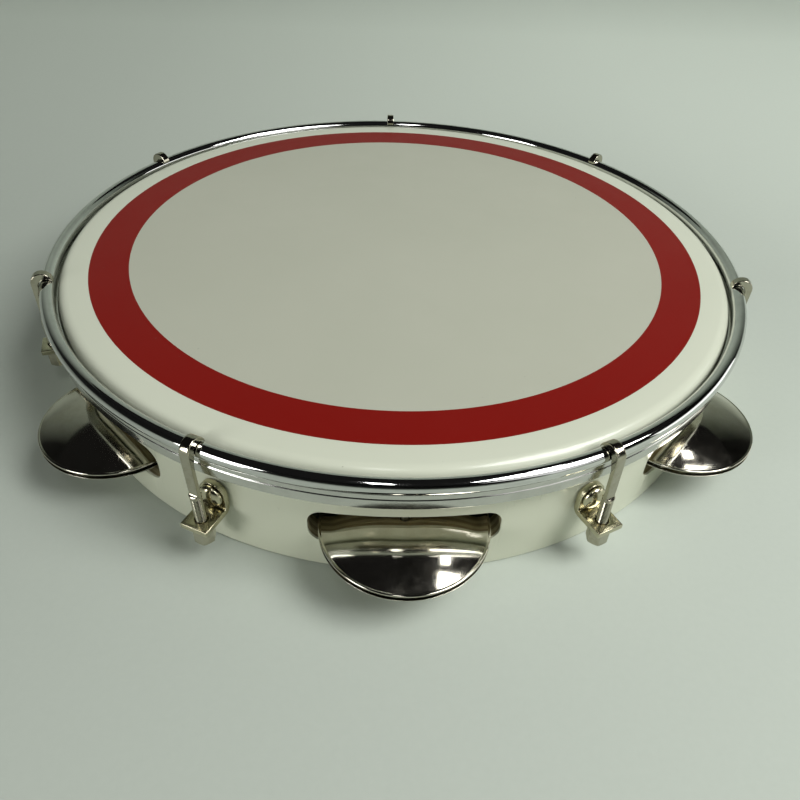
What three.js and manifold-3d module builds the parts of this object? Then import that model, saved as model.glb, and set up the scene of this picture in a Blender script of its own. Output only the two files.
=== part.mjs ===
// Pandeiro, a ten inch Brazilian frame drum with jingles.
// Units are millimetres and +Z is up. The origin is the centre of the playing face, and the
// middle jingle looks along -Y. A radius is measured from the drum's axis. In each set's own
// frame +X points away from the axis and +Y runs round the drum.

import * as THREE from 'three';
import { mergeVertices } from 'three/addons/utils/BufferGeometryUtils.js';
import Module from 'manifold-3d';

const wasm = await Module();
wasm.setup();

// Clearances
const seatGap = 0.3; // between pieces that rest on or pass through each other
const overrun = 1; // how far a cutting tool runs past what it cuts

// Shell
const shellRadius = 126;
const shellWall = 7.4;
const shellHeight = 43;
const bearingRadius = 3.2; // round on the shell's upper outer edge, which the film bends over
const shellChamfer = 0.8;
const bayCount = 7; // the tension hooks divide the shell into this many bays

// Places round the shell in shares of a bay, counted from the middle jingle. They are drilled by
// hand, so they aren't quite even, and two bays at the back have no slot and are left for the hand.
const jingleShares = [0, 1, 2, -2, -0.97];
const hookShares = [0.506, 1.495, 2.545, 3.515, 4.6, 5.555, 6.493];

// Drumhead film
const filmThickness = 0.35;
const collarDepth = 7.2; // from the playing face down to the middle of the turned lip
const lipWidth = 2.3;

// Counter-hoop rod and flesh hoop
const rodDiameter = 4.76;
const rodDrop = 1.5; // the rod's centre line below the playing face
const rodClearance = 0.85; // between the film's collar and the rod
const fleshWidth = 3.9;
const fleshHeight = 5.6;
const fleshStepDrop = 2; // from the flesh hoop's top to the step round its outside
const fleshStepDepth = 0.3;
const fleshBevel = 0.6; // on the flesh hoop's upper outer edge
const channelDepth = 2.6;
const tuningTravel = 1; // how far the hoops and hooks move down or up from rest

// Jingles
const slotDrop = 18.75; // from the shell's upper edge to the slot
const slotHeight = 13;
const slotWidth = 56.5;
const slotCorner = 5;
const jingleRadius = 25.2;
const cupHeight = 4.8;
const cupSheet = 0.5;
const cupLip = 0.8; // width of the flat lip round a cup
const cupHoleRadius = 1.75;
const cupShoulder = 4; // radius of the flat seat round a cup's hole
const damperRadius = 23.4;
const damperThickness = 0.8;
const pinRadius = 1.3;
const pinHeadRadius = 2.6;
const pinHeadHeight = 1.2;
const pinHeadSink = 0.4; // the head lies this far inside the shell's lower edge
const pinHold = 5.5; // length of the pin in the wood above the slot

// Tension hooks
const strapWidth = 3.2;
const strapThickness = 1.6;
const strapSetback = 1.15; // from the rod's outside to the strap
const strapLength = 13.4; // below the rod's centre line
const curlRadius = 3.75; // of the curl's outside
const curlRise = 1.25; // the centre of that outside above the rod's centre line
const curlEndDegrees = 165; // how far the curl's outside reaches over the rod
const curlInnerEndDegrees = 150; // and how far its inside does
const curlBlend = 3.5; // below the rod's centre line, where the curl is as thin as the strap
const studRadius = 1.75;
const studTipDrop = 34.2; // from the playing face to the stud's end
const nutAcrossFlats = 5.8;
const nutHeight = 6.5;

// Hook brackets and their screws
const plateThickness = 2;
const plateWidth = 9;
const footDrop = 25.9; // from the playing face to the foot's upper face
const footReach = 12.05; // from the tab's inner face to the foot's end
const plateBendRadius = 0.6;
const screwDrop = 21.4;
const screwRadius = 2;
const screwHeadRadius = 4;
const screwHeadHeight = 2.3;
const innerNutAcrossFlats = 7;
const innerNutHeight = 3;
const screwProud = 0.8; // how far a screw stands out of the nut inside the shell

// Fineness of the round faces, in pieces
const segments = {
  ring: 70,
  rod: 8,
  bearing: 3,
  cup: 20,
  cupCurve: 3,
  corner: 3,
  curl: 7,
  arch: 8,
  pin: 8,
  stud: 10,
  hole: 10,
  bend: 2,
  dome: 3,
};

// Places that follow from the sizes above
const bayAngle = (2 * Math.PI) / bayCount;
const shellInner = shellRadius - shellWall;
const pinCircle = shellRadius - shellWall / 2;
const shellTop = -filmThickness - seatGap;
const shellBottom = shellTop - shellHeight;
const collarInner = shellRadius + seatGap;
const collarOuter = collarInner + filmThickness;
const filmFlatRadius = shellRadius - bearingRadius;
const rodRadius = rodDiameter / 2;
const rodCircle = collarOuter + rodClearance + rodRadius;
const fleshTop = -rodDrop - rodRadius - seatGap;
const fleshInner = collarOuter + seatGap;
const fleshOuter = fleshInner + fleshWidth;
const slotTop = shellTop - slotDrop;
const slotBottom = slotTop - slotHeight;
const lowerRim = slotBottom + seatGap + cupHeight;
const damperBottom = lowerRim + seatGap;
const upperRim = damperBottom + damperThickness + seatGap;
const footTop = -footDrop;
const footBottom = footTop - plateThickness;
const tabInner = shellRadius + seatGap;
const tabOuter = tabInner + plateThickness;
const strapInner = rodCircle + rodRadius + strapSetback;
const strapOuter = strapInner + strapThickness;
const studCircle = strapInner + strapThickness / 2;
const screwHole = screwRadius + seatGap;
const studHole = studRadius + seatGap;

const materials = {
  laminate: { color: 0xdcdcc8, roughness: 0.25, metalness: 0 },
  film: { color: 0xe2e2d4, roughness: 0.35, metalness: 0 },
  chrome: { color: 0xc8cacb, roughness: 0.06, metalness: 1 },
  aluminium: { color: 0xb4b6b4, roughness: 0.25, metalness: 1 },
  nickel: { color: 0xb9b4a2, roughness: 0.12, metalness: 1 },
  steel: { color: 0xa7a294, roughness: 0.3, metalness: 1 },
  damper: { color: 0x8f8a7c, roughness: 0.45, metalness: 1 },
};

const pandeiro = new THREE.Group();

function piece(name, geometry, kind, parent = pandeiro) {
  const mesh = new THREE.Mesh(geometry, new THREE.MeshStandardMaterial(materials[kind]));
  mesh.name = name;
  parent.add(mesh);
}

// A closed geometry as a solid for joining and cutting
function solid(geometry) {
  const bare = geometry.clone();
  bare.deleteAttribute('normal');
  bare.deleteAttribute('uv');
  const merged = mergeVertices(bare);
  return new wasm.Manifold(new wasm.Mesh({
    numProp: 3,
    vertProperties: new Float32Array(merged.attributes.position.array),
    triVerts: new Uint32Array(merged.index.array),
  }));
}

function meshOf(manifold) {
  const result = manifold.getMesh();
  const geometry = new THREE.BufferGeometry();
  geometry.setAttribute('position', new THREE.BufferAttribute(result.vertProperties, 3));
  geometry.setIndex(new THREE.BufferAttribute(result.triVerts, 1));
  return geometry;
}

// A profile of [radius, height] pairs turned about the drum's axis
function turned(profile, count) {
  const points = profile.map(([radius, height]) => new THREE.Vector2(radius, height));
  return new THREE.LatheGeometry(points, count).rotateX(Math.PI / 2);
}

function closedRing(profile, count) {
  return turned([...profile, profile[0]], count);
}

// Points along an arc, from one angle to another
function arc(centre, radius, from, to, count) {
  return Array.from({ length: count + 1 }, (_, step) => {
    const angle = from + ((to - from) * step) / count;
    return [centre[0] + radius * Math.cos(angle), centre[1] + radius * Math.sin(angle)];
  });
}

function shapeOf(points) {
  return new THREE.Shape(points.map(([x, y]) => new THREE.Vector2(x, y)));
}

function extruded(shape, depth) {
  return new THREE.ExtrudeGeometry(shape, { depth, bevelEnabled: false, steps: 1 });
}

// An outline drawn in a set's X and Z, given a width along Y about the middle
function sideExtrusion(points, width) {
  return extruded(shapeOf(points), width).rotateX(Math.PI / 2).translate(0, width / 2, 0);
}

// An outline drawn in a set's Y and Z, run along X from one radius to another
function outwardExtrusion(points, from, to) {
  return extruded(shapeOf(points), to - from).rotateX(Math.PI / 2).rotateZ(Math.PI / 2)
    .translate(from, 0, 0);
}

// A cylinder along X, for screw holes
function outwardCylinder(radius, from, to, height) {
  return new THREE.CylinderGeometry(radius, radius, to - from, segments.hole)
    .rotateZ(Math.PI / 2).translate((from + to) / 2, 0, height);
}

function uprightCylinder(radius, from, to, centre, count) {
  return new THREE.CylinderGeometry(radius, radius, to - from, count)
    .rotateX(Math.PI / 2).translate(centre, 0, (from + to) / 2);
}

// The turn that brings a set's own frame to its place round the drum
function bayTurn(share) {
  return share * bayAngle - Math.PI / 2;
}

function groupAtBay(share) {
  const group = new THREE.Group();
  group.rotation.z = bayTurn(share);
  pandeiro.add(group);
  return group;
}

function slotOutline() {
  const side = slotWidth / 2 - slotCorner;
  const low = slotBottom + slotCorner;
  const high = slotTop - slotCorner;
  const quarter = Math.PI / 2;
  return [
    ...arc([side, low], slotCorner, -quarter, 0, segments.corner),
    ...arc([side, high], slotCorner, 0, quarter, segments.corner),
    ...arc([-side, high], slotCorner, quarter, 2 * quarter, segments.corner),
    ...arc([-side, low], slotCorner, 2 * quarter, 3 * quarter, segments.corner),
  ];
}

// The cuts through the wall start at the drum's axis
function frameShell() {
  const bearing = arc([filmFlatRadius, shellTop - bearingRadius], bearingRadius,
    0, Math.PI / 2, segments.bearing);
  let shell = solid(closedRing([
    [shellInner + shellChamfer, shellBottom],
    [shellRadius - shellChamfer, shellBottom],
    [shellRadius, shellBottom + shellChamfer],
    ...bearing,
    [shellInner + shellChamfer, shellTop],
    [shellInner, shellTop - shellChamfer],
    [shellInner, shellBottom + shellChamfer],
  ], segments.ring));
  const outside = shellRadius + overrun;
  for (const share of jingleShares) {
    const slot = outwardExtrusion(slotOutline(), 0, outside);
    const pinBore = uprightCylinder(pinRadius + seatGap, shellBottom - overrun,
      slotTop + pinHold + seatGap, pinCircle, segments.hole);
    const headBore = uprightCylinder(pinHeadRadius + seatGap, shellBottom - overrun,
      shellBottom + pinHeadSink + pinHeadHeight + seatGap, pinCircle, segments.hole);
    for (const cut of [slot, pinBore, headBore]) {
      shell = shell.subtract(solid(cut.rotateZ(bayTurn(share))));
    }
  }
  for (const share of hookShares) {
    const hole = outwardCylinder(screwHole, 0, outside, -screwDrop);
    shell = shell.subtract(solid(hole.rotateZ(bayTurn(share))));
  }
  piece('frame_shell', meshOf(shell), 'laminate');
}

// The film lies flat, bends over the shell's bearing edge, runs down as a collar and ends in
// a lip turned outwards.
function drumhead() {
  const bendCentre = [filmFlatRadius, shellTop - bearingRadius];
  const innerBend = bearingRadius + seatGap;
  const outerBend = innerBend + filmThickness;
  const lipMiddle = -collarDepth;
  const lipOuter = collarOuter + lipWidth;
  piece('drumhead', turned([
    [0, -filmThickness],
    ...arc(bendCentre, innerBend, Math.PI / 2, 0, segments.bearing),
    [collarInner, lipMiddle - filmThickness / 2],
    [lipOuter, lipMiddle - filmThickness / 2],
    [lipOuter, lipMiddle + filmThickness / 2],
    [collarOuter, lipMiddle + filmThickness / 2],
    ...arc(bendCentre, outerBend, 0, Math.PI / 2, segments.bearing),
    [0, 0],
  ], segments.ring), 'film');
}

// A channel open towards the film's collar, with a step round its outside
function fleshHoop() {
  const bottom = fleshTop - fleshHeight;
  const channelHalf = filmThickness / 2 + seatGap + tuningTravel;
  const channelTop = channelHalf - collarDepth;
  const channelBottom = -channelHalf - collarDepth;
  const channelEnd = fleshInner + channelDepth;
  const step = fleshTop - fleshStepDrop;
  const upperOuter = fleshOuter - fleshStepDepth;
  piece('flesh_hoop', closedRing([
    [fleshInner, bottom],
    [fleshOuter, bottom],
    [fleshOuter, step - fleshStepDepth],
    [upperOuter, step],
    [upperOuter, fleshTop - fleshBevel],
    [upperOuter - fleshBevel, fleshTop],
    [fleshInner, fleshTop],
    [fleshInner, channelTop],
    [channelEnd, channelTop],
    [channelEnd, channelBottom],
    [fleshInner, channelBottom],
  ], segments.ring), 'aluminium');
}

function counterHoop() {
  const full = 2 * Math.PI;
  const half = Math.PI / segments.rod;
  const section = arc([rodCircle, -rodDrop], rodRadius, half, full + half, segments.rod);
  piece('counter_hoop', turned(section, segments.ring), 'chrome');
}

// One cup, open side down, with its rim at height zero
function cup() {
  const domeEdge = jingleRadius - cupLip;
  const crown = cupHeight - cupSheet;
  const curve = Array.from({ length: segments.cupCurve + 1 }, (_, step) => {
    const share = step / segments.cupCurve;
    const radius = cupShoulder + (domeEdge - cupShoulder) * share;
    return [radius, crown * (1 - share * share)];
  });
  const outer = curve.map(([radius, height]) => [radius, height + cupSheet]).reverse();
  return closedRing([
    [cupHoleRadius, crown],
    ...curve,
    [jingleRadius, 0],
    [jingleRadius, cupSheet],
    ...outer,
    [cupHoleRadius, cupHeight],
  ], segments.cup);
}

function damperDisc() {
  return closedRing([
    [cupHoleRadius, 0],
    [damperRadius, 0],
    [damperRadius, damperThickness],
    [cupHoleRadius, damperThickness],
  ], segments.cup);
}

function jinglePin() {
  const headBottom = shellBottom + pinHeadSink;
  return turned([
    [0, headBottom],
    [pinHeadRadius, headBottom],
    [pinHeadRadius, headBottom + pinHeadHeight],
    [pinRadius, headBottom + pinHeadHeight],
    [pinRadius, slotTop + pinHold],
    [0, slotTop + pinHold],
  ], segments.pin);
}

function jingleSet(share, number) {
  const group = groupAtBay(share);
  const upper = cup().translate(pinCircle, 0, upperRim);
  const lower = cup().rotateX(Math.PI).translate(pinCircle, 0, lowerRim);
  piece(`upper_jingle_${number}`, upper, 'nickel', group);
  piece(`damper_disc_${number}`, damperDisc().translate(pinCircle, 0, damperBottom), 'damper', group);
  piece(`lower_jingle_${number}`, lower, 'nickel', group);
  piece(`jingle_pin_${number}`, jinglePin().translate(pinCircle, 0, 0), 'steel', group);
}

// A curl over the rod, thick on its outer side and thin at its tip, runs down as a straight
// strap into a round stud.
function tensionHook() {
  const rodCentre = [rodCircle, -rodDrop];
  const curlCentre = [strapOuter - curlRadius, curlRise - rodDrop];
  const curlEnd = THREE.MathUtils.degToRad(curlEndDegrees);
  const curlInnerEnd = THREE.MathUtils.degToRad(curlInnerEndDegrees);
  const strapBottom = -rodDrop - strapLength;
  const outline = [
    ...arc(curlCentre, curlRadius, 0, curlEnd, segments.curl),
    ...arc(rodCentre, rodRadius + seatGap, curlInnerEnd, 0, segments.curl),
    [strapInner, -rodDrop - curlBlend],
    [strapInner, strapBottom],
    [strapOuter, strapBottom],
  ];
  const strap = solid(sideExtrusion(outline, strapWidth));
  const stud = solid(uprightCylinder(studRadius, -studTipDrop, strapBottom + strapThickness,
    studCircle, segments.stud));
  return meshOf(strap.add(stud));
}

// A hexagon nut on the Z axis, from height zero upwards
function hexNut(acrossFlats, height, holeRadius) {
  const corner = acrossFlats / Math.sqrt(3);
  const outline = shapeOf(arc([0, 0], corner, 0, 2 * Math.PI, 6).slice(0, -1));
  const hole = shapeOf(arc([0, 0], holeRadius, 0, 2 * Math.PI, segments.hole).slice(0, -1));
  outline.holes.push(hole);
  return extruded(outline, height);
}

function hookBracket() {
  const end = tabInner + footReach;
  const side = plateWidth / 2;
  const innerBend = arc([tabOuter + plateBendRadius, footTop + plateBendRadius], plateBendRadius,
    -Math.PI / 2, -Math.PI, segments.bend);
  const outerRound = plateThickness + plateBendRadius;
  const outerBend = arc([tabInner + outerRound, footBottom + outerRound], outerRound,
    -Math.PI, -Math.PI / 2, segments.bend);
  const profile = [
    ...outerBend,
    [end, footBottom],
    [end, footTop],
    ...innerBend,
    [tabOuter, -screwDrop + plateWidth],
    [tabInner, -screwDrop + plateWidth],
  ];
  const front = [
    [side, footBottom - overrun],
    ...arc([0, -screwDrop], side, 0, Math.PI, segments.arch),
    [-side, footBottom - overrun],
  ];
  const plate = solid(sideExtrusion(profile, plateWidth));
  const limits = solid(outwardExtrusion(front, tabInner - overrun, end + overrun));
  const screwBore = solid(outwardCylinder(screwHole, tabInner - overrun, tabOuter + overrun,
    -screwDrop));
  const studBore = solid(uprightCylinder(studHole, footBottom - overrun, footTop + overrun,
    studCircle, segments.hole));
  return meshOf(plate.intersect(limits).subtract(screwBore).subtract(studBore));
}

function bracketScrew() {
  const headBase = tabOuter + seatGap;
  const tip = shellInner - 2 * seatGap - innerNutHeight - screwProud;
  const dome = Array.from({ length: segments.dome + 1 }, (_, step) => {
    const angle = ((Math.PI / 2) * step) / segments.dome;
    return [screwHeadRadius * Math.cos(angle), headBase + screwHeadHeight * Math.sin(angle)];
  });
  return turned([
    [0, tip],
    [screwRadius, tip],
    [screwRadius, headBase],
    ...dome.slice(0, -1),
    [0, headBase + screwHeadHeight],
  ], segments.stud).rotateY(Math.PI / 2).translate(0, 0, -screwDrop);
}

function bracketNut() {
  return hexNut(innerNutAcrossFlats, innerNutHeight, screwHole).rotateY(Math.PI / 2)
    .translate(shellInner - 2 * seatGap - innerNutHeight, 0, -screwDrop);
}

function tensionSet(share, number) {
  const group = groupAtBay(share);
  const nutBottom = footBottom - seatGap - nutHeight;
  const nut = hexNut(nutAcrossFlats, nutHeight, studHole).translate(studCircle, 0, nutBottom);
  piece(`tension_hook_${number}`, tensionHook(), 'nickel', group);
  piece(`tension_nut_${number}`, nut, 'nickel', group);
  piece(`hook_bracket_${number}`, hookBracket(), 'nickel', group);
  piece(`bracket_screw_${number}`, bracketScrew(), 'nickel', group);
  piece(`bracket_nut_${number}`, bracketNut(), 'steel', group);
}

frameShell();
drumhead();
fleshHoop();
counterHoop();
jingleShares.forEach((share, index) => jingleSet(share, index + 1));
hookShares.forEach((share, index) => tensionSet(share, index + 1));

export default pandeiro;
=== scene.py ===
import math

import bmesh
import bpy
from mathutils import Matrix, Quaternion, Vector


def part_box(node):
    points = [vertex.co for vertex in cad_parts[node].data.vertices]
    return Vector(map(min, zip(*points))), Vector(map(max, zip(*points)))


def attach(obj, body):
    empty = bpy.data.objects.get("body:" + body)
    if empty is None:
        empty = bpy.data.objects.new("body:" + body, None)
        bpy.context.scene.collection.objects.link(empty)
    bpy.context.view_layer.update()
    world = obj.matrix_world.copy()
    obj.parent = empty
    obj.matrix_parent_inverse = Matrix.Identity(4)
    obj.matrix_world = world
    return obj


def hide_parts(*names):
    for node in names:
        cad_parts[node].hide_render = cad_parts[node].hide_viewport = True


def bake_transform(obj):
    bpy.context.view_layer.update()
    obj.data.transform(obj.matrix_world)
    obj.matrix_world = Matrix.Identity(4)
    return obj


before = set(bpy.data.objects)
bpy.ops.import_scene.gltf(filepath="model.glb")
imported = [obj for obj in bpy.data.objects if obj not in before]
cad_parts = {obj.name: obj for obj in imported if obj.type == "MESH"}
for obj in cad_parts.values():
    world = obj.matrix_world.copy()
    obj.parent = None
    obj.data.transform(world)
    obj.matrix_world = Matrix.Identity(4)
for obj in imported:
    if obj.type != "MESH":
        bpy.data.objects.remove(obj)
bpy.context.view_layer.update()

# Lengths are in millimetres and angles in degrees, unless a name says otherwise. A profile's
# points are (distance from the axis, height).
MM = 0.001
SEAT_GAP = 0.3

# Fineness of the round shapes
AROUND_DRUM = 360
AROUND_CUP = 128
AROUND_ROD = 28
AROUND_STUD = 24
AROUND_STRAP = 40
SHARP_EDGE = 32
MERGE = 0.0001

# Camera, fitted to the photograph
CAMERA_PLACE = (-10.758, -256.686, 137.811)
CAMERA_AIM = (-1.612, -97.066, 0)
CAMERA_ROLL = 2.713
PHOTO_PIXELS = 800
FOCAL_PIXELS = 715.2
SENSOR = 36


def node_points(name):
    return [vertex.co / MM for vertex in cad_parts[name].data.vertices]


def reach(name):
    """The least and greatest distance of a CAD node from the drum's axis."""
    radii = [point.xy.length for point in node_points(name)]
    return min(radii), max(radii)


def levels(name):
    """The lowest and highest level of a CAD node."""
    lowest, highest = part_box(name)
    return lowest.z / MM, highest.z / MM


def centre(name):
    lowest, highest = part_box(name)
    return (lowest + highest) / 2 / MM


# Sizes that the frame gives
shell_inner, shell_outer = reach("frame_shell")
shell_bottom, shell_top = levels("frame_shell")
flesh_inner, flesh_outer = reach("flesh_hoop")
flesh_bottom, flesh_top = levels("flesh_hoop")
lip_outer = reach("drumhead")[1]
rod_circle = sum(reach("counter_hoop")) / 2
rod_level = sum(levels("counter_hoop")) / 2
pin_circle = centre("jingle_pin_1").xy.length
stud_circle = centre("tension_nut_1").xy.length
screw_level = centre("bracket_screw_1").z

# Shell
BEARING_RADIUS = 3.2
EDGE_RADIUS = 0.8
LAMINATE = 0.8
PLY = 1.32
SLOT_WIDTH = 56.5
SLOT_HEIGHT = 13
SLOT_DROP = 18.75
SLOT_CORNER = 5
SLOT_EDGE = 0.15
PIN_BORE = 1.6
HEAD_BORE = 2.9
SCREW_BORE = 2.3
PIN_HOLD = 5.8
CUTTER_EXTRA = 1

# Head film
FILM = 0.35
COLLAR_DEPTH = 7.2
LIP_EDGE = 0.15
BAND_INNER = 102
BAND_OUTER = 116

# Hoops
ROD_RADIUS = 2.38
STEP_DROP = 2
STEP_DEPTH = 0.3
CHANNEL_DEPTH = 2.6
CHANNEL_HALF = 1.475
HOOP_EDGE = 0.2
HOOP_SHOULDER = 1
HOOP_DRAFT = 0.1

# Jingles
JINGLE_RADIUS = 25.2
CUP_HEIGHT = 4.8
CUP_SHEET = 0.5
CUP_LIP = 0.8
CUP_HOLE = 1.75
CUP_SEAT = 4
CUP_CURVE_STEPS = 18
DAMPER_RADIUS = 23.4
PIN_RADIUS = 1.3
PIN_HEAD = 2.6
PIN_HEAD_HEIGHT = 1.2
PIN_HEAD_DOME = 0.35
PIN_EDGE = 0.3
PIN_TIP_EDGE = 0.4
PIN_LIFT = 0.1
CUP_EDGE = 0.12
DAMPER_EDGE = 0.2

# Tension hooks. The curl's tip narrows by rings, each a share of the section and its advance.
STRAP_HALF_WIDTH = 1.6
STRAP_HALF_THICKNESS = 0.8
STRAP_LENGTH = 13.4
STRAP_TAPER = 0.03
STRAP_SQUARENESS = 9
NECK_LENGTH = 1.1
CURL_RADIUS = 3.75
CURL_RISE = 1.25
CURL_END = 165
CURL_INNER_END = 150
CURL_BLEND = 3.5
CURL_TIP = ((0.82, 0.2), (0.93, 0.15), (0.98, 0.07))
HOOK_LEAN = 1.6
HOOK_LEAN_LEVEL = -31
STUD_RADIUS = 1.75
THREAD_PITCH = 0.6
THREAD_DEPTH = 0.18
THREAD_CHAMFER = 0.3
THREAD_TIP = 0.8
THREAD_START = 0.1
NUT_ACROSS_FLATS = 5.8
NUT_CLEARANCE = 0.05
NUT_CHAMFER_CIRCLE = 0.9
NUT_CHAMFER_ANGLE = 30
NUT_BORE_CHAMFER = 0.25

# Brackets and their screws
PLATE = 2
PLATE_WIDTH = 9
PLATE_BEND = 0.6
PLATE_EDGE = 0.22
STUD_BORE = 2.05
SCREW_RADIUS = 2
SCREW_HEAD_RADIUS = 4
SCREW_HEAD_HEIGHT = 2.3
SCREW_RIM = 0.35
SCREW_HEAD_TAPER = 0.15
SCREW_THREAD = 5
SCREW_PITCH = 0.7
INNER_NUT_ACROSS_FLATS = 7
INNER_NUT_HEIGHT = 3


# Outlines and surfaces. A surface is a list of points and a list of faces.

def rounded(corners, closed=True, steps=6):
    """An outline through corners given as (x, y, radius), each turned with its radius."""
    outline = []
    for index, (x, y, radius) in enumerate(corners):
        here = Vector((x, y))
        at_end = not closed and index in (0, len(corners) - 1)
        if radius == 0 or at_end:
            outline.append(here)
            continue
        back = (Vector(corners[index - 1][:2]) - here).normalized()
        onward = (Vector(corners[(index + 1) % len(corners)][:2]) - here).normalized()
        half = back.angle(onward) / 2
        middle = here + (back + onward).normalized() * radius / math.sin(half)
        start = here + back * radius / math.tan(half) - middle
        end = here + onward * radius / math.tan(half) - middle
        sweep = math.atan2(start.x * end.y - start.y * end.x, start.dot(end))
        for step in range(steps + 1):
            outline.append(middle + Matrix.Rotation(sweep * step / steps, 2) @ start)
    return [tuple(point) for point in outline]


def loft(rings, closed=False):
    """Faces between rings of points, one after another, with both ends capped or joined."""
    count = len(rings[0])
    points = [point for ring in rings for point in ring]
    faces = []
    for row in range(len(rings) if closed else len(rings) - 1):
        low = row * count
        high = (row + 1) % len(rings) * count
        for column in range(count):
            beside = (column + 1) % count
            faces.append((low + column, low + beside, high + beside, high + column))
    if not closed:
        faces.append(tuple(reversed(range(count))))
        faces.append(tuple(range(len(points) - count, len(points))))
    return points, faces


def turned(profile, steps, closed=True):
    """A profile turned about the Z axis. An open profile starts and ends on the axis."""
    angles = [2 * math.pi * step / steps for step in range(steps)]
    rings = [[(radius * math.cos(angle), radius * math.sin(angle), height)
              for angle in angles] for radius, height in profile]
    return loft(rings, closed)


def smooth(mesh):
    mesh.shade_smooth()
    mesh.set_sharp_from_angle(angle=math.radians(SHARP_EDGE))


def scaled_place(place):
    """A placement written in millimetres, for Blender's metres."""
    metres = place.copy()
    metres.translation = place.translation * MM
    return metres


def build(name, surface, looks, place=Matrix.Identity(4)):
    """A new object from a surface, with its faces turned outwards."""
    points, faces = surface
    mesh = bpy.data.meshes.new(name)
    mesh.from_pydata([Vector(point) * MM for point in points], [], faces)
    work = bmesh.new()
    work.from_mesh(mesh)
    bmesh.ops.remove_doubles(work, verts=work.verts, dist=MERGE * MM)
    bmesh.ops.recalc_face_normals(work, faces=work.faces)
    work.to_mesh(mesh)
    work.free()
    for look in looks:
        mesh.materials.append(look)
    smooth(mesh)
    made = bpy.data.objects.new(name, mesh)
    bpy.context.scene.collection.objects.link(made)
    made.matrix_world = scaled_place(place)
    return made


def stand_in(piece, node, body):
    """The piece is shown instead of a CAD node and moves with the node's body."""
    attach(piece, body)
    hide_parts(node)


def turn_to(node):
    """The turn about the drum's axis that brings a set's own +X to a CAD node."""
    middle = centre(node)
    return Matrix.Rotation(math.atan2(middle.y, middle.x), 4, "Z")


# Materials

def colour(red, green, blue):
    """A colour given as it shows, in 0 to 255, as the shader's linear values."""
    def linear(value):
        share = value / 255
        return share / 12.92 if share <= 0.04045 else ((share + 0.055) / 1.055) ** 2.4
    return linear(red), linear(green), linear(blue), 1


def feed(tree, socket, value):
    if isinstance(value, bpy.types.NodeSocket):
        tree.links.new(value, socket)
    else:
        socket.default_value = value


def node(tree, kind, inputs=(), **settings):
    """A new shader node. Inputs are pairs of a socket's name or number and its value."""
    made = tree.nodes.new("ShaderNode" + kind)
    for name, value in settings.items():
        setattr(made, name, value)
    for key, value in inputs:
        feed(tree, made.inputs[key], value)
    return made


def new_look(name, **values):
    """A material with a Principled shader and its fixed values."""
    look = bpy.data.materials.new(name)
    look.use_nodes = True
    shader = look.node_tree.nodes["Principled BSDF"]
    for key, value in values.items():
        shader.inputs[key.replace("_", " ")].default_value = value
    return look, look.node_tree, shader


def object_place(tree):
    return node(tree, "TexCoord").outputs["Object"]


def stretched(tree, place, stretch):
    return node(tree, "VectorMath", [(0, place), (1, stretch)], operation="MULTIPLY").outputs[0]


def noise(tree, place, size, detail=3, roughness=0.5):
    """Noise whose features are about this size."""
    return node(tree, "TexNoise", [("Vector", place), ("Scale", 1 / (size * MM)),
                                   ("Detail", detail), ("Roughness", roughness)]).outputs[0]


def spread(tree, value, low, high, to_low, to_high):
    """A value between low and high brought to another range, and held to it."""
    return node(tree, "MapRange", [(0, value), (1, low), (2, high), (3, to_low),
                                   (4, to_high)]).outputs[0]


def maths(tree, operation, first, second):
    return node(tree, "Math", [(0, first), (1, second)], operation=operation).outputs[0]


def mixed(tree, share, first, second):
    return node(tree, "Mix", [(0, share), (6, first), (7, second)],
                data_type="RGBA").outputs[2]


def bump(tree, height, depth, before=None):
    """A bump of this depth where the height goes from 0 to 1."""
    made = node(tree, "Bump", [("Height", height), ("Distance", depth * MM), ("Strength", 1)])
    if before is not None:
        feed(tree, made.inputs["Normal"], before)
    return made.outputs[0]


def ring_place(tree):
    """The distance from the Z axis, the turn about it and the height, each as a socket."""
    parts = node(tree, "SeparateXYZ", [(0, object_place(tree))]).outputs
    flat = node(tree, "CombineXYZ", [(0, parts[0]), (1, parts[1])]).outputs[0]
    radius = node(tree, "VectorMath", [(0, flat)], operation="LENGTH").outputs[1]
    turn = maths(tree, "ARCTAN2", parts[1], parts[0])
    return radius, turn, parts[2]


def round_grain(tree, size, stretch):
    """Fine lines that run round the Z axis, stretched along their way."""
    radius, turn, height = ring_place(tree)
    along = maths(tree, "MULTIPLY", turn, size * MM / stretch)
    place = node(tree, "CombineXYZ", [(0, radius), (1, along), (2, height)]).outputs[0]
    return noise(tree, place, size, 4)


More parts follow.
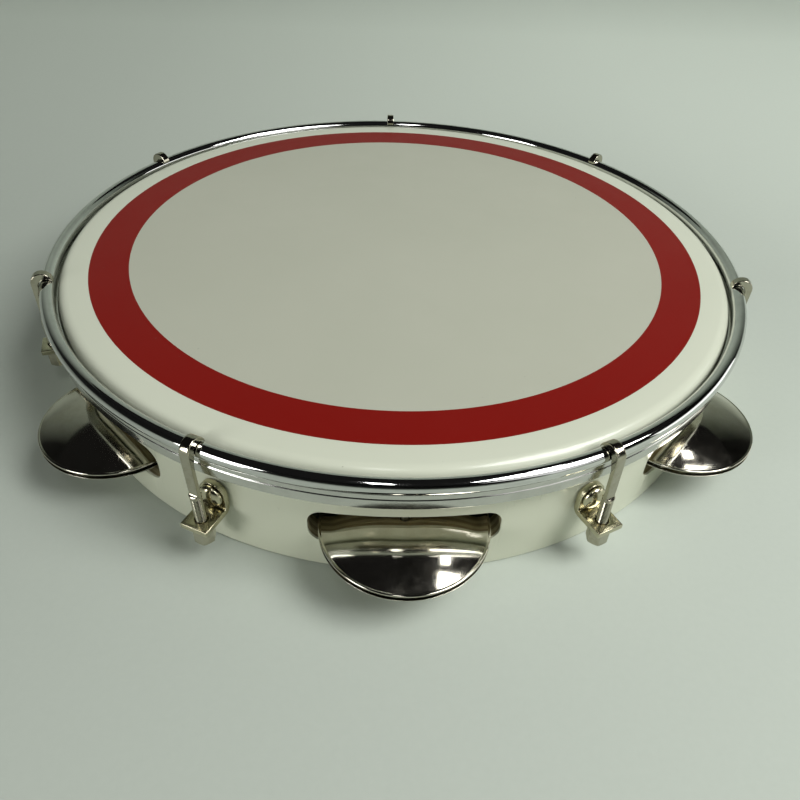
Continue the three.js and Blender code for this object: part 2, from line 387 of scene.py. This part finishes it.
def shell_look():
    """Glossy white laminate over plywood, told apart by the distance from the drum's axis."""
    look, tree, shader = new_look("shell_plywood", Specular_IOR_Level=0.5)
    radius, turn, height = ring_place(tree)
    place = object_place(tree)
    cloud = noise(tree, place, 40, 2)
    white = mixed(tree, cloud, colour(196, 200, 178), colour(204, 207, 187))
    scuff = noise(tree, stretched(tree, place, (1, 1, 0.3)), 2.2, 5, 0.65)
    white = mixed(tree, spread(tree, scuff, 0.66, 0.78, 0, 0.35), white, colour(160, 160, 140))
    along = maths(tree, "MULTIPLY", turn, 0.012)
    grain_place = node(tree, "CombineXYZ", [(0, radius), (1, along), (2, height)]).outputs[0]
    grain = noise(tree, grain_place, 1.1, 5, 0.6)
    wood = mixed(tree, grain, colour(140, 132, 100), colour(172, 164, 128))
    core = mixed(tree, grain, colour(112, 102, 74), colour(138, 128, 96))
    ply = maths(tree, "PINGPONG", maths(tree, "SUBTRACT", radius, shell_inner * MM), PLY * MM)
    dark_ply = spread(tree, ply, 0.48 * PLY * MM, 0.52 * PLY * MM, 0, 1)
    wood = mixed(tree, dark_ply, wood, core)
    skin_start = (shell_outer - LAMINATE) * MM
    skin = spread(tree, radius, skin_start, skin_start + 0.05 * MM, 0, 1)
    feed(tree, shader.inputs["Base Color"], mixed(tree, skin, wood, white))
    gloss = spread(tree, noise(tree, place, 9, 3), 0.3, 0.7, 0.13, 0.2)
    rough = node(tree, "Mix", [(0, skin), (2, 0.72), (3, gloss)], data_type="FLOAT").outputs[0]
    feed(tree, shader.inputs["Roughness"], rough)
    ripple = bump(tree, noise(tree, place, 14, 2), 0.02)
    fibre = maths(tree, "MULTIPLY", grain, maths(tree, "SUBTRACT", 1.0, skin))
    feed(tree, shader.inputs["Normal"], bump(tree, fibre, 0.12, ripple))
    return look


def film_look(name, base, second, rough_low, rough_high, shine=0.5):
    """Satin nylon with faint smudges and a few specks."""
    look, tree, shader = new_look(name, Specular_IOR_Level=shine)
    place = object_place(tree)
    cloud = noise(tree, place, 60, 4, 0.6)
    tone = mixed(tree, cloud, base, second)
    specks = noise(tree, place, 1.6, 2, 0.5)
    tone = mixed(tree, spread(tree, specks, 0.76, 0.79, 0, 0.4), tone, colour(92, 94, 80))
    feed(tree, shader.inputs["Base Color"], tone)
    smudge = noise(tree, place, 18, 5, 0.6)
    feed(tree, shader.inputs["Roughness"], spread(tree, smudge, 0.3, 0.7, rough_low, rough_high))
    satin = bump(tree, noise(tree, place, 0.35, 2), 0.012)
    feed(tree, shader.inputs["Normal"], bump(tree, noise(tree, place, 30, 2), 0.02, satin))
    return look


def plated_look(name, base, stain, rough_low, rough_high, grain_size, grain_depth, wave=0.0):
    """Bright plated metal, with fine lines round the Z axis and slight stains."""
    look, tree, shader = new_look(name, Metallic=1)
    place = object_place(tree)
    stains = spread(tree, noise(tree, place, 7, 5, 0.65), 0.45, 0.8, 0, 1)
    feed(tree, shader.inputs["Base Color"], mixed(tree, stains, base, stain))
    grain = round_grain(tree, grain_size, 0.01)
    haze = noise(tree, place, 3, 4, 0.6)
    rough = spread(tree, haze, 0.3, 0.75, rough_low, rough_high)
    feed(tree, shader.inputs["Roughness"], rough)
    normal = bump(tree, grain, grain_depth)
    if wave:
        normal = bump(tree, noise(tree, place, 9, 1), wave, normal)
    feed(tree, shader.inputs["Normal"], normal)
    return look


def brushed_look(name, base, stain, rough, stretch, depth):
    """Plated steel with straight brush lines."""
    look, tree, shader = new_look(name, Metallic=1)
    place = object_place(tree)
    stains = spread(tree, noise(tree, place, 2.5, 4, 0.6), 0.5, 0.8, 0, 1)
    feed(tree, shader.inputs["Base Color"], mixed(tree, stains, base, stain))
    lines = noise(tree, stretched(tree, place, stretch), 0.12, 3, 0.6)
    feed(tree, shader.inputs["Roughness"], spread(tree, lines, 0.3, 0.7, rough, rough + 0.08))
    feed(tree, shader.inputs["Normal"], bump(tree, lines, depth))
    return look


looks = {
    "shell": shell_look(),
    "head": film_look("film_head", colour(166, 169, 152), colour(174, 176, 160), 0.36, 0.46),
    "band": film_look("film_red", colour(113, 17, 12), colour(119, 20, 15), 0.3, 0.38, 0.12),
    "collar": film_look("film_collar", colour(190, 195, 176), colour(197, 201, 183), 0.14, 0.2,
                        0.4),
    "chrome": plated_look("chrome", colour(212, 213, 210), colour(198, 199, 196),
                          0.035, 0.07, 0.2, 0.0004),
    "aluminium": plated_look("aluminium", colour(204, 204, 198), colour(188, 188, 182),
                             0.13, 0.2, 0.15, 0.004),
    "nickel": plated_look("jingle_nickel", colour(206, 202, 188), colour(186, 180, 162),
                          0.06, 0.12, 0.3, 0.001, 0.02),
    "damper": plated_look("damper_steel", colour(150, 146, 136), colour(120, 114, 102),
                          0.3, 0.42, 0.2, 0.01),
    "hardware": brushed_look("hardware_nickel", colour(176, 172, 155), colour(152, 146, 126),
                             0.06, (1, 0.08, 1), 0.003),
    "bracket": brushed_look("bracket_nickel", colour(192, 187, 160), colour(166, 159, 132),
                            0.16, (1, 0.08, 1), 0.003),
    "zinc": plated_look("zinc_steel", colour(188, 189, 186), colour(158, 158, 152),
                        0.24, 0.34, 0.2, 0.006),
}


# Shell

def slot_outline(growth):
    half = SLOT_WIDTH / 2 + growth
    high = shell_top - SLOT_DROP + growth
    low = shell_top - SLOT_DROP - SLOT_HEIGHT - growth
    corner = SLOT_CORNER + growth
    return rounded([(half, low, corner), (half, high, corner),
                    (-half, high, corner), (-half, low, corner)], steps=14)


def slot_cutter(place):
    """A slot's space, which flares out at both faces of the wall to ease its edges. Its ends
    lie clear of the wall: the inner one is curved like the wall and the outer one is flat."""
    steps = 4
    flare = []
    for step in range(steps + 1):
        angle = math.pi / 2 * step / steps
        flare.append((SLOT_EDGE * (1 - math.cos(angle)), SLOT_EDGE * (1 - math.sin(angle))))
    sections = [(shell_inner - CUTTER_EXTRA, SLOT_EDGE + CUTTER_EXTRA)]
    sections += [(shell_inner + depth, growth) for depth, growth in flare]
    sections += [(shell_outer - depth, growth) for depth, growth in reversed(flare)]
    rings = []
    for radius, growth in sections:
        rings.append([place @ Vector((math.sqrt(radius * radius - across * across), across, level))
                      for across, level in slot_outline(growth)])
    rings.append([place @ Vector((shell_outer + CUTTER_EXTRA, across, level))
                  for across, level in slot_outline(SLOT_EDGE + CUTTER_EXTRA)])
    return loft(rings)


def pin_cutter(place):
    slot_top = shell_top - SLOT_DROP
    head_top = shell_bottom + 2 * SEAT_GAP + PIN_HEAD_HEIGHT
    start = shell_bottom - CUTTER_EXTRA
    points, faces = turned([(0, start), (HEAD_BORE, start),
                            (HEAD_BORE, head_top), (PIN_BORE, head_top),
                            (PIN_BORE, slot_top + PIN_HOLD), (0, slot_top + PIN_HOLD)],
                           AROUND_STUD, closed=False)
    shift = Matrix.Translation((pin_circle, 0, 0))
    return [place @ shift @ Vector(point) for point in points], faces


def screw_cutter(place):
    start = shell_inner - CUTTER_EXTRA
    end = shell_outer + CUTTER_EXTRA
    points, faces = turned([(0, start), (SCREW_BORE, start), (SCREW_BORE, end), (0, end)],
                           AROUND_STUD, closed=False)
    lie = Matrix.Translation((0, 0, screw_level)) @ Matrix.Rotation(math.pi / 2, 4, "Y")
    return [place @ lie @ Vector(point) for point in points], faces


def cut_away(piece, cutters):
    """Cuts each group of surfaces out of a piece, one group after another."""
    tools = []
    for group in cutters:
        points, faces = [], []
        for some_points, some_faces in group:
            faces += [tuple(corner + len(points) for corner in face) for face in some_faces]
            points += some_points
        tool = build("cutter", (points, faces), [])
        change = piece.modifiers.new("cut", "BOOLEAN")
        change.solver = "EXACT"
        change.object = tool
        tools.append(tool)
    bpy.context.view_layer.update()
    result = bpy.data.meshes.new_from_object(
        piece.evaluated_get(bpy.context.evaluated_depsgraph_get()))
    piece.modifiers.clear()
    piece.data = result
    for tool in tools:
        bpy.data.objects.remove(tool)


JINGLES = range(1, 6)
HOOKS = range(1, 8)


def shell():
    profile = rounded([(shell_inner, shell_bottom, EDGE_RADIUS),
                       (shell_outer, shell_bottom, EDGE_RADIUS),
                       (shell_outer, shell_top, BEARING_RADIUS),
                       (shell_inner, shell_top, EDGE_RADIUS)])
    wall = build("shell_wall", turned(profile, AROUND_DRUM), [looks["shell"]])
    jingle_turns = [turn_to(f"jingle_pin_{number}") for number in JINGLES]
    hook_turns = [turn_to(f"tension_nut_{number}") for number in HOOKS]
    cut_away(wall, [[slot_cutter(turn) for turn in jingle_turns],
                    [pin_cutter(turn) for turn in jingle_turns],
                    [screw_cutter(turn) for turn in hook_turns]])
    smooth(wall.data)
    stand_in(wall, "frame_shell", "root")


# Head film, bent over the shell and ending in a lip inside the flesh hoop

def head():
    collar_outer = shell_outer + SEAT_GAP + FILM
    collar_inner = shell_outer + SEAT_GAP
    bend = BEARING_RADIUS + SEAT_GAP
    lip_top = FILM / 2 - COLLAR_DEPTH
    lip_bottom = -FILM / 2 - COLLAR_DEPTH
    edge = LIP_EDGE
    profile = rounded([(0, 0, 0), (BAND_INNER, 0, 0), (BAND_OUTER, 0, 0),
                       (collar_outer, 0, bend + FILM), (collar_outer, lip_top, 2 * edge),
                       (lip_outer, lip_top, edge), (lip_outer, lip_bottom, edge),
                       (collar_inner, lip_bottom, 4 * edge), (collar_inner, -FILM, bend),
                       (0, -FILM, 0)], closed=False)
    film = build("head_film", turned(profile, AROUND_DRUM, closed=False),
                 [looks["head"], looks["band"], looks["collar"]])
    for face in film.data.polygons:
        distance = face.center.xy.length / MM
        on_top = face.center.z / MM > -FILM / 2
        if distance > BAND_OUTER:
            face.material_index = 2
        elif distance > BAND_INNER and on_top:
            face.material_index = 1
    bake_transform(film)
    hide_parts("drumhead")


# Hoops

def hoops():
    step = flesh_top - STEP_DROP
    upper_outer = flesh_outer - STEP_DEPTH
    channel = -COLLAR_DEPTH
    channel_end = flesh_inner + CHANNEL_DEPTH
    profile = rounded([
        (flesh_inner, flesh_bottom, HOOP_EDGE),
        (flesh_outer, flesh_bottom, HOOP_EDGE * 1.25),
        (flesh_outer, step - STEP_DEPTH, HOOP_EDGE * 1.75),
        (upper_outer, step, HOOP_EDGE * 0.6),
        (upper_outer - HOOP_DRAFT, flesh_top, HOOP_SHOULDER),
        (flesh_inner, flesh_top, HOOP_EDGE * 1.5),
        (flesh_inner, channel + CHANNEL_HALF, HOOP_EDGE / 2),
        (channel_end, channel + CHANNEL_HALF, HOOP_EDGE),
        (channel_end, channel - CHANNEL_HALF, HOOP_EDGE),
        (flesh_inner, channel - CHANNEL_HALF, HOOP_EDGE / 2),
    ])
    flesh = build("flesh_channel", turned(profile, AROUND_DRUM), [looks["aluminium"]])
    stand_in(flesh, "flesh_hoop", "hoop")
    section = [(rod_circle + ROD_RADIUS * math.cos(2 * math.pi * step / AROUND_ROD),
                rod_level + ROD_RADIUS * math.sin(2 * math.pi * step / AROUND_ROD))
               for step in range(AROUND_ROD)]
    rod = build("rod_hoop", turned(section, AROUND_DRUM), [looks["chrome"]])
    stand_in(rod, "counter_hoop", "hoop")


# Jingles

def cup_profile():
    """One cup's section, open side down and with its rim at height zero."""
    dome_edge = JINGLE_RADIUS - CUP_LIP
    crown = CUP_HEIGHT - CUP_SHEET
    curve = []
    for step in range(CUP_CURVE_STEPS + 1):
        share = step / CUP_CURVE_STEPS
        radius = CUP_SEAT + (dome_edge - CUP_SEAT) * share
        turn = 0.5 if step == CUP_CURVE_STEPS else 0
        curve.append((radius, crown * (1 - share * share), turn))
    above = [(radius, height + CUP_SHEET, turn) for radius, height, turn in reversed(curve)]
    edge = CUP_EDGE
    return rounded([(CUP_HOLE, crown, edge), *curve, (JINGLE_RADIUS, 0, edge / 2),
                    (JINGLE_RADIUS, CUP_SHEET, CUP_SHEET * 0.8), *above,
                    (CUP_HOLE, CUP_HEIGHT, edge)])


def pin_surface():
    """The pin's domed head, shank and rounded tip, in the drum's own heights."""
    low = shell_bottom + SEAT_GAP + PIN_LIFT
    top = shell_top - SLOT_DROP + PIN_HOLD - SEAT_GAP
    profile = rounded([(0, low, 0), (PIN_HEAD / 2, low, PIN_EDGE),
                       (PIN_HEAD, low + PIN_HEAD_DOME, PIN_EDGE),
                       (PIN_HEAD, low + PIN_HEAD_HEIGHT, PIN_EDGE / 2),
                       (PIN_RADIUS, low + PIN_HEAD_HEIGHT, 0), (PIN_RADIUS, top, PIN_TIP_EDGE),
                       (0, top, 0)], closed=False)
    return turned(profile, AROUND_STUD, closed=False)


def jingle_set(number):
    pin = f"jingle_pin_{number}"
    upper, disc, lower = (f"{kind}_{number}" for kind in
                          ("upper_jingle", "damper_disc", "lower_jingle"))
    post = Matrix.Translation(turn_to(pin) @ Vector((pin_circle, 0, 0)))
    cup = turned(cup_profile(), AROUND_CUP)
    rest_up = post @ Matrix.Translation((0, 0, levels(upper)[0]))
    rest_down = (post @ Matrix.Translation((0, 0, levels(lower)[1]))
                 @ Matrix.Rotation(math.pi, 4, "X"))
    top = build(f"cup_top_{number}", cup, [looks["nickel"]], rest_up)
    stand_in(top, upper, f"upper_cup_{number}")
    bottom = build(f"cup_bottom_{number}", cup, [looks["nickel"]], rest_down)
    stand_in(bottom, lower, f"lower_cup_{number}")
    low, high = levels(disc)
    edge = DAMPER_EDGE
    profile = rounded([(CUP_HOLE, low, edge), (DAMPER_RADIUS, low, edge),
                       (DAMPER_RADIUS, high, edge), (CUP_HOLE, high, edge)])
    between = build(f"cup_disc_{number}", turned(profile, AROUND_CUP), [looks["damper"]], post)
    stand_in(between, disc, f"damper_{number}")
    nail = build(f"cup_pin_{number}", pin_surface(), [looks["zinc"]], post)
    stand_in(nail, pin, "root")


# Tension hooks

def strap_section(inner, outer, half_width, squareness):
    """A ring of points round a strap, between a point on its inner and one on its outer face."""
    middle = (inner + outer) / 2
    outward = (outer - inner) / 2
    ring = []
    for step in range(AROUND_STRAP):
        angle = 2 * math.pi * (step + 0.5) / AROUND_STRAP
        across = math.copysign(abs(math.cos(angle)) ** (2 / squareness), math.cos(angle))
        along = math.copysign(abs(math.sin(angle)) ** (2 / squareness), math.sin(angle))
        ring.append(middle + outward * across + Vector((0, half_width * along, 0)))
    return ring


def thread_rings(radius, pitch, depth, start, end, steps):
    """Rings of a screw thread on the Z axis, fading in at its start and out at its end."""
    rows = 6
    count = round(abs(end - start) / pitch * rows)
    rings = []
    for row in range(count + 1):
        level = start + (end - start) * row / count
        fade = min(1, row / rows, (count - row) / rows)
        ring = []
        for step in range(steps):
            turn = (step + 0.5) / steps
            phase = (level / pitch + turn) % 1
            crest = abs(2 * phase - 1)
            here = radius - depth * (1 - crest) * fade
            angle = 2 * math.pi * turn
            ring.append(Vector((here * math.cos(angle), here * math.sin(angle), level)))
        rings.append(ring)
    return rings


def on_circle(middle, radius, angle):
    return middle + radius * Vector((math.cos(angle), 0, math.sin(angle)))


def hook_surface(tip):
    """The curl over the rod, the straight strap and the threaded stud, in one skin. It leans
    a little to one side from the nut upwards."""
    square = STRAP_SQUARENESS
    rod = Vector((rod_circle, 0, rod_level))
    strap_inner = stud_circle - STRAP_HALF_THICKNESS
    strap_outer = stud_circle + STRAP_HALF_THICKNESS
    curl = Vector((strap_outer - CURL_RADIUS, 0, rod_level + CURL_RISE))
    rings = []
    curl_steps = 34
    for step in range(curl_steps + 1):
        share = 1 - step / curl_steps
        inner = on_circle(rod, ROD_RADIUS + SEAT_GAP, math.radians(CURL_INNER_END) * share)
        outer = on_circle(curl, CURL_RADIUS, math.radians(CURL_END) * share)
        rings.append(strap_section(inner, outer, STRAP_HALF_WIDTH, square))
    first = rings[0]
    middle = sum(first, Vector()) / len(first)
    back = (middle - sum(rings[1], Vector()) / len(first)).normalized()
    ends = []
    for share, advance in CURL_TIP:
        ends.append([middle + (point - middle) * share + back * advance for point in first])
    rings = ends + rings
    shoulder_inner = rod.x + ROD_RADIUS + SEAT_GAP
    bottom = rod_level - STRAP_LENGTH
    run_steps = 20
    for step in range(1, run_steps + 1):
        share = step / run_steps
        level = rod_level + (bottom - rod_level) * share
        ease = min(1, (rod_level - level) / CURL_BLEND)
        ease = ease * ease * (3 - 2 * ease)
        inner = Vector((shoulder_inner + (strap_inner - shoulder_inner) * ease, 0, level))
        outer = Vector((strap_outer, 0, level + CURL_RISE * (1 - share)))
        width = STRAP_HALF_WIDTH * (1 - STRAP_TAPER * share)
        rings.append(strap_section(inner, outer, width, square))
    neck = NECK_LENGTH
    neck_steps = 6
    for step in range(1, neck_steps + 1):
        share = step / neck_steps
        ease = share * share * (3 - 2 * share)
        middle = Vector((stud_circle, 0, bottom - neck * share))
        half = Vector((STRAP_HALF_THICKNESS + (STUD_RADIUS - STRAP_HALF_THICKNESS) * ease, 0, 0))
        width = STRAP_HALF_WIDTH * (1 - STRAP_TAPER) * (1 - ease) + STUD_RADIUS * ease
        rings.append(strap_section(middle - half, middle + half, width,
                                   square + (2 - square) * ease))
    chamfer = THREAD_CHAMFER
    start = bottom - neck - THREAD_START
    for ring in thread_rings(STUD_RADIUS, THREAD_PITCH, THREAD_DEPTH, start, tip + chamfer,
                             AROUND_STRAP):
        rings.append([Vector((stud_circle + point.x, point.y, point.z)) for point in ring])
    last = rings[-1]
    axis = Vector((stud_circle, 0, tip + chamfer))
    rings.append([axis + (point - axis) * THREAD_TIP - Vector((0, 0, chamfer))
                  for point in last])
    lean = math.tan(math.radians(HOOK_LEAN))
    return loft([[point - Vector((0, lean * (point.z - HOOK_LEAN_LEVEL), 0)) for point in ring]
                 for ring in rings])


def nut_surface(across_flats, height, bore):
    """A hexagon nut on the Z axis from height zero, with its corners turned off at both ends."""
    steps = 72
    chamfer_circle = across_flats / 2 * NUT_CHAMFER_CIRCLE
    slope = math.tan(math.radians(NUT_CHAMFER_ANGLE))

    def corner_reach(angle):
        return across_flats / 2 / math.cos((angle + math.pi / 6) % (math.pi / 3) - math.pi / 6)

    angles = [2 * math.pi * step / steps for step in range(steps)]

    def ring(radius_at, level_at):
        return [(radius_at(angle) * math.cos(angle), radius_at(angle) * math.sin(angle),
                 level_at(angle)) for angle in angles]

    def cut(angle):
        return max(0, corner_reach(angle) - chamfer_circle) * slope

    bore_chamfer = NUT_BORE_CHAMFER
    return loft([
        ring(lambda a: bore, lambda a: bore_chamfer),
        ring(lambda a: bore + bore_chamfer, lambda a: 0),
        ring(lambda a: chamfer_circle, lambda a: 0),
        ring(corner_reach, cut),
        ring(corner_reach, lambda a: height - cut(a)),
        ring(lambda a: chamfer_circle, lambda a: height),
        ring(lambda a: bore + bore_chamfer, lambda a: height),
        ring(lambda a: bore, lambda a: height - bore_chamfer),
    ], closed=True)


# Brackets

def flat_plate(name, outline, holes, thickness, edge):
    """A flat plate in X and Y with eased edges, from a filled curve."""
    curve = bpy.data.curves.new(name, "CURVE")
    curve.dimensions = "2D"
    curve.fill_mode = "BOTH"
    curve.extrude = (thickness / 2 - edge) * MM
    curve.bevel_depth = edge * MM
    curve.bevel_resolution = 2
    curve.offset = -edge * MM
    for line in [outline, *holes]:
        spline = curve.splines.new("POLY")
        spline.points.add(len(line) - 1)
        spline.use_cyclic_u = True
        for point, (x, y) in zip(spline.points, line):
            point.co = (x * MM, y * MM, 0, 1)
    drawn = bpy.data.objects.new(name, curve)
    mesh = bpy.data.meshes.new_from_object(drawn)
    bpy.data.objects.remove(drawn)
    return mesh


def circle(x, y, radius, steps=32):
    return [(x + radius * math.cos(2 * math.pi * step / steps),
             y + radius * math.sin(2 * math.pi * step / steps)) for step in range(steps)]


def bracket_mesh(foot_bottom, foot_end):
    """A plate with a round top, drawn flat and bent through a right angle into tab and foot."""
    half = PLATE_WIDTH / 2
    tab_inner = shell_outer + SEAT_GAP
    tab_middle = tab_inner + PLATE / 2
    tab_top = screw_level + half
    bend_x = tab_inner + PLATE + PLATE_BEND
    bend_z = foot_bottom + PLATE + PLATE_BEND
    mid_radius = PLATE_BEND + PLATE / 2
    tab_length = tab_top - bend_z
    bend_length = mid_radius * math.pi / 2
    length = tab_length + bend_length + foot_end - bend_x
    arch_steps = 24
    outline = [(half - half * math.sin(math.pi * step / arch_steps),
                half * math.cos(math.pi * step / arch_steps)) for step in range(arch_steps + 1)]
    outline += [(length, -half), (length, half)]
    stud_place = tab_length + bend_length + stud_circle - bend_x
    holes = [circle(half, 0, SCREW_BORE), circle(stud_place, 0, STUD_BORE)]
    mesh = flat_plate("bracket", outline, holes, PLATE, PLATE_EDGE)
    work = bmesh.new()
    work.from_mesh(mesh)
    bmesh.ops.remove_doubles(work, verts=work.verts, dist=MERGE * MM)
    bend_steps = 8
    for step in range(bend_steps + 1):
        cut = tab_length + bend_length * step / bend_steps
        everything = work.verts[:] + work.edges[:] + work.faces[:]
        bmesh.ops.bisect_plane(work, geom=everything, plane_co=(cut * MM, 0, 0),
                               plane_no=(1, 0, 0))
    for vertex in work.verts:
        along, across, up = vertex.co / MM
        if along < tab_length:
            bent = (tab_middle + up, across, tab_top - along)
        elif along < tab_length + bend_length:
            angle = (along - tab_length) / mid_radius
            bent = (bend_x - (mid_radius - up) * math.cos(angle), across,
                    bend_z - (mid_radius - up) * math.sin(angle))
        else:
            bent = (bend_x + along - tab_length - bend_length, across,
                    foot_bottom + PLATE / 2 + up)
        vertex.co = Vector(bent) * MM
    bmesh.ops.recalc_face_normals(work, faces=work.faces)
    work.to_mesh(mesh)
    work.free()
    mesh.materials.append(looks["bracket"])
    smooth(mesh)
    return mesh


def screw_surface(tip):
    """A domed screw on the Z axis: head at the top, plain shank and a threaded end."""
    base = shell_outer + 2 * SEAT_GAP + PLATE
    dome_steps = 10
    profile = [(0, base + SCREW_HEAD_HEIGHT)]
    for step in range(1, dome_steps + 1):
        angle = math.pi / 2 * step / dome_steps
        profile.append((SCREW_HEAD_RADIUS * math.sin(angle),
                        base + SCREW_RIM + (SCREW_HEAD_HEIGHT - SCREW_RIM) * math.cos(angle)))
    profile += [(SCREW_HEAD_RADIUS - SCREW_HEAD_TAPER, base), (SCREW_RADIUS, base)]
    rings = []
    for radius, level in profile:
        rings.append([Vector((radius * math.cos(2 * math.pi * (step + 0.5) / AROUND_STRAP),
                              radius * math.sin(2 * math.pi * (step + 0.5) / AROUND_STRAP),
                              level)) for step in range(AROUND_STRAP)])
    chamfer = THREAD_CHAMFER
    rings += thread_rings(SCREW_RADIUS, SCREW_PITCH, THREAD_DEPTH, tip + SCREW_THREAD,
                          tip + chamfer, AROUND_STRAP)
    rings.append([Vector((point.x * THREAD_TIP, point.y * THREAD_TIP, tip))
                  for point in rings[-1]])
    return loft(rings)


def tension_set(number, bracket):
    nut_node = f"tension_nut_{number}"
    turn = turn_to(nut_node)
    hook = build(f"hook_{number}", hook_surface(levels(f"tension_hook_{number}")[0]),
                 [looks["hardware"]], turn)
    stand_in(hook, f"tension_hook_{number}", "hoop")
    low, high = levels(nut_node)
    nut = build(f"stud_nut_{number}",
                nut_surface(NUT_ACROSS_FLATS, high - low, STUD_RADIUS + NUT_CLEARANCE),
                [looks["hardware"]], turn @ Matrix.Translation((stud_circle, 0, low)))
    stand_in(nut, nut_node, f"nut_{number}")
    plate = bpy.data.objects.new(f"plate_{number}", bracket)
    bpy.context.scene.collection.objects.link(plate)
    plate.matrix_world = turn
    stand_in(plate, f"hook_bracket_{number}", "root")
    lie = turn @ Matrix.Translation((0, 0, screw_level)) @ Matrix.Rotation(math.pi / 2, 4, "Y")
    tip = reach(f"bracket_screw_{number}")[0]
    screw = build(f"dome_screw_{number}", screw_surface(tip), [looks["bracket"]], lie)
    stand_in(screw, f"bracket_screw_{number}", "root")
    inner_base = shell_inner - 2 * SEAT_GAP - INNER_NUT_HEIGHT
    inner = build(f"wall_nut_{number}",
                  nut_surface(INNER_NUT_ACROSS_FLATS, INNER_NUT_HEIGHT,
                              SCREW_RADIUS + NUT_CLEARANCE), [looks["zinc"]],
                  lie @ Matrix.Translation((0, 0, inner_base)))
    stand_in(inner, f"bracket_nut_{number}", "root")


shell()
head()
hoops()
for count in JINGLES:
    jingle_set(count)
foot_bottom = levels("hook_bracket_1")[0]
foot_end = max(point.xy.length for point in node_points("hook_bracket_1"))
foot_end = math.sqrt(foot_end ** 2 - (PLATE_WIDTH / 2) ** 2)
bent_plate = bracket_mesh(foot_bottom, foot_end)
for count in HOOKS:
    tension_set(count, bent_plate)


# Floor, backdrop, lights and camera

FLOOR_DROP = 0.05


def studio():
    """A pale floor that sweeps up into a backdrop, which is painted dark but for its far side as
    painted shade of an unlit room round the drum. The paper is also painted lighter towards the
    right and the back as painted light.
    """
    backdrop = 1300
    rise = 1150
    sweep = 450
    look, tree, shader = new_look("paper", Specular_IOR_Level=0.3)
    place = object_place(tree)
    parts = node(tree, "SeparateXYZ", [(0, place)]).outputs
    ahead = spread(tree, parts[1], 0.5, 1.15, 0, 1)
    height = spread(tree, parts[2], 0.0, 0.25, 0, 1)
    # Painted shade: the backdrop's rise, all but its far side, is painted near black to stand for
    # an unlit room.
    painted_room_shade = maths(tree, "MULTIPLY", maths(tree, "SUBTRACT", 1.0, ahead), height)
    fibre = noise(tree, place, 2, 4)
    paper = mixed(tree, fibre, colour(176, 184, 173), colour(180, 188, 177))
    # Painted light: the paper's colour is scaled lighter towards the right and further back, as
    # the lamps would light it.
    tone = maths(tree, "MULTIPLY", spread(tree, parts[0], -0.2, 0.2, 0.95, 1.1),
                 spread(tree, parts[1], 0.05, 0.5, 0.9, 1.46))
    paper = node(tree, "VectorMath", [(0, paper), ("Scale", tone)], operation="SCALE").outputs[0]
    feed(tree, shader.inputs["Base Color"], mixed(tree, painted_room_shade, paper, colour(22, 22, 22)))
    feed(tree, shader.inputs["Roughness"], 0.7)
    feed(tree, shader.inputs["Normal"], bump(tree, noise(tree, place, 0.8, 3), 0.02))
    floor = shell_bottom - FLOOR_DROP
    profile = rounded([(0, floor, 0), (backdrop, floor, sweep), (backdrop, floor + rise, 0)],
                      closed=False)
    angles = 96
    rings = [[(radius * math.cos(2 * math.pi * step / angles),
               radius * math.sin(2 * math.pi * step / angles), level)
              for step in range(angles)] for radius, level in profile]
    points, faces = loft(rings, closed=False)
    ground = build("floor", (points, faces[:-1]), [look])


def panel(name, right, back, distance, width, depth, radiance):
    """A soft rectangular light that faces the drum. Its direction is given by the angles that
    it stands off the zenith to the right and to the back, and its sizes run the same ways."""
    off = math.radians(math.hypot(right, back))
    share = math.sin(off) / math.hypot(right, back)
    away = Vector((right * share, back * share, math.cos(off)))
    lamp = bpy.data.lights.new(name, "AREA")
    lamp.shape = "RECTANGLE"
    lamp.size = width * MM
    lamp.size_y = depth * MM
    lamp.energy = radiance * math.pi * lamp.size * lamp.size_y
    made = bpy.data.objects.new(name, lamp)
    bpy.context.scene.collection.objects.link(made)
    deep = (Vector((0, 1, 0)) - away * away.y).normalized()
    turn = Matrix((deep.cross(away), deep, away)).transposed().to_4x4()
    made.matrix_world = scaled_place(Matrix.Translation(away * distance) @ turn)


def lights():
    world = bpy.data.worlds.new("room")
    world.use_nodes = True
    world.node_tree.nodes["Background"].inputs["Color"].default_value = (0.01, 0.01, 0.01, 1)
    bpy.context.scene.world = world
    panel("softbox", right=36, back=-20, distance=1050, width=620, depth=520, radiance=12.2)
    panel("small_lamp", right=25, back=3, distance=1000, width=90, depth=100, radiance=9)
    panel("front_strip", right=-3, back=-28, distance=1000, width=90, depth=280, radiance=8)
    panel("left_window", right=-60, back=-52, distance=1150, width=700, depth=380, radiance=8.2)
    panel("front_window", right=44, back=-48, distance=1150, width=700, depth=380, radiance=0.9)
    panel("right_wall", right=84, back=0, distance=1100, width=500, depth=700, radiance=1.6)


def camera():
    lens = bpy.data.cameras.new("camera")
    lens.sensor_width = SENSOR
    lens.lens = SENSOR * FOCAL_PIXELS / PHOTO_PIXELS
    lens.clip_start = 0.01
    made = bpy.data.objects.new("camera", lens)
    bpy.context.scene.collection.objects.link(made)
    made.location = Vector(CAMERA_PLACE) * MM
    straight = (Vector(CAMERA_AIM) - Vector(CAMERA_PLACE)).to_track_quat("-Z", "Y")
    roll = Quaternion((0, 0, 1), math.radians(CAMERA_ROLL))
    made.rotation_euler = (straight @ roll).to_euler()
    bpy.context.scene.camera = made


studio()
lights()
camera()
bpy.context.scene.view_settings.view_transform = "Standard"
